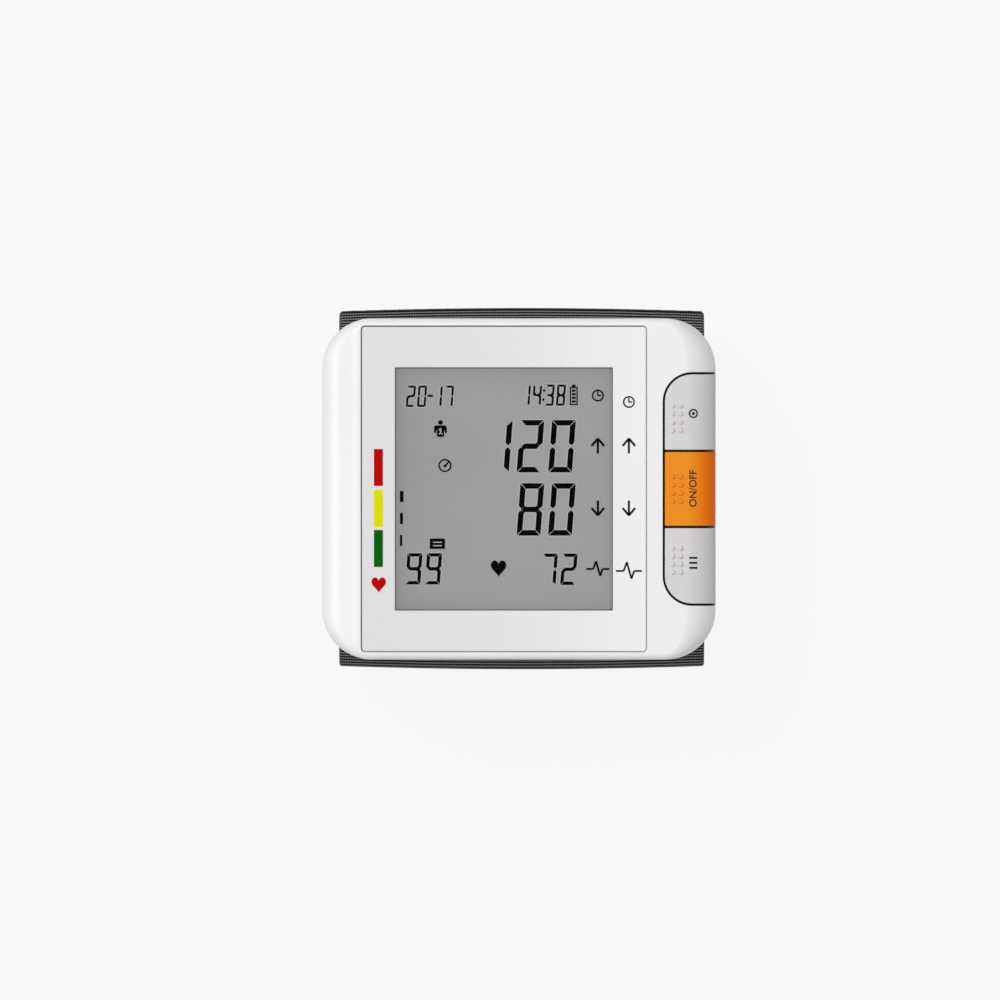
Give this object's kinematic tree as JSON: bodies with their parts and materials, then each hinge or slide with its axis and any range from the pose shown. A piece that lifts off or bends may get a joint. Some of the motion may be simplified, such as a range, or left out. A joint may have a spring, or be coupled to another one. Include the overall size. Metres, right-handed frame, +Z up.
{
  "type": "wrist blood pressure monitor",
  "caption": "Wrist blood pressure monitor: rounded white case with a square display and side buttons, on a closed ribbed cuff with a swinging strap.",
  "frame": {"origin": "under the middle of the closed cuff, on the surface it stands on", "axes": "+Z up, out of the display; +Y towards the upper edge of the display; +X towards the button row, along the wrist"},
  "size_m": [0.075, 0.0686, 0.087],
  "materials": {
    "white_plastic": "satin moulded plastic",
    "panel_plastic": "fine satin plastic",
    "clear_plastic": "clear polished plastic",
    "lcd_grey": "grey reflective glass sandwich",
    "grey_plastic": "satin moulded plastic",
    "orange_plastic": "satin moulded plastic",
    "dark_plastic": "matte moulded plastic",
    "board_green": "solder mask",
    "steel": "plated steel",
    "cell_jacket": "plain metal jacket",
    "silicone": "soft silicone",
    "ribbed_fabric": "finely ribbed weave",
    "soft_fabric": "soft brushed knit",
    "bladder_film": "welded flexible film"
  },
  "bodies": {
    "main_unit": {"cuff_cover": "ribbed_fabric", "cuff_stiffener": "dark_plastic", "air_bladder": "bladder_film", "cuff_liner": "soft_fabric", "edge_tape_left": "soft_fabric", "edge_tape_right": "soft_fabric", "cuff_rivet_left": "steel", "cuff_rivet_right": "steel", "rear_case": "white_plastic", "case_screw_1": "steel", "case_screw_2": "steel", "case_screw_3": "steel", "case_screw_4": "steel", "battery_cell_lower": "cell_jacket", "battery_cell_upper": "cell_jacket", "battery_spring_lower": "steel", "battery_spring_upper": "steel", "battery_bridge_contact": "steel", "battery_contact_lower": "steel", "battery_contact_upper": "steel", "pump_motor": "steel", "pump_head": "dark_plastic", "port_seal": "silicone", "air_port": "grey_plastic", "air_manifold": "grey_plastic", "release_valve": "steel", "pump_tube": "silicone", "valve_tube": "silicone", "sensor_tube": "silicone", "main_board": "board_green", "board_screw_1": "steel", "board_screw_2": "steel", "board_screw_3": "steel", "control_chip": "dark_plastic", "buzzer": "dark_plastic", "pressure_sensor": "dark_plastic", "display_panel": "panel_plastic", "display_lens": "clear_plastic", "lcd_module": "lcd_grey", "lcd_frame": "white_plastic", "lcd_strip_upper": "silicone", "lcd_strip_lower": "silicone", "set_switch": "dark_plastic", "power_switch": "dark_plastic", "memory_switch": "dark_plastic", "front_case": "white_plastic"},
    "set_key": {"set_button": "grey_plastic", "set_switch_plunger": "white_plastic"},
    "power_key": {"power_button": "orange_plastic", "power_switch_plunger": "white_plastic"},
    "memory_key": {"memory_button": "grey_plastic", "memory_switch_plunger": "white_plastic"},
    "battery_hatch": {"battery_door": "white_plastic"},
    "cuff_strap": {"strap_band": "ribbed_fabric", "hook_patch": "dark_plastic"}
  },
  "joints": [
    {"name": "set_press", "type": "slide", "parent": "main_unit", "child": "set_key", "axis": [0, 0, -1], "range_m": [0, 0.0005], "stiffness_N_per_m": 300, "springref_m": -0.0003},
    {"name": "power_press", "type": "slide", "parent": "main_unit", "child": "power_key", "axis": [0, 0, -1], "range_m": [0, 0.0005], "stiffness_N_per_m": 300, "springref_m": -0.0003},
    {"name": "memory_press", "type": "slide", "parent": "main_unit", "child": "memory_key", "axis": [0, 0, -1], "range_m": [0, 0.0005], "stiffness_N_per_m": 300, "springref_m": -0.0003},
    {"name": "door_slide", "type": "slide", "parent": "main_unit", "child": "battery_hatch", "axis": [-1, 0, 0], "range_m": [0, 0.03]},
    {"name": "strap_open", "type": "hinge", "parent": "main_unit", "child": "cuff_strap", "pos_m": [0, 0.0343, 0.038], "axis": [1, 0, 0], "range_deg": [0, 110]}
  ]
}
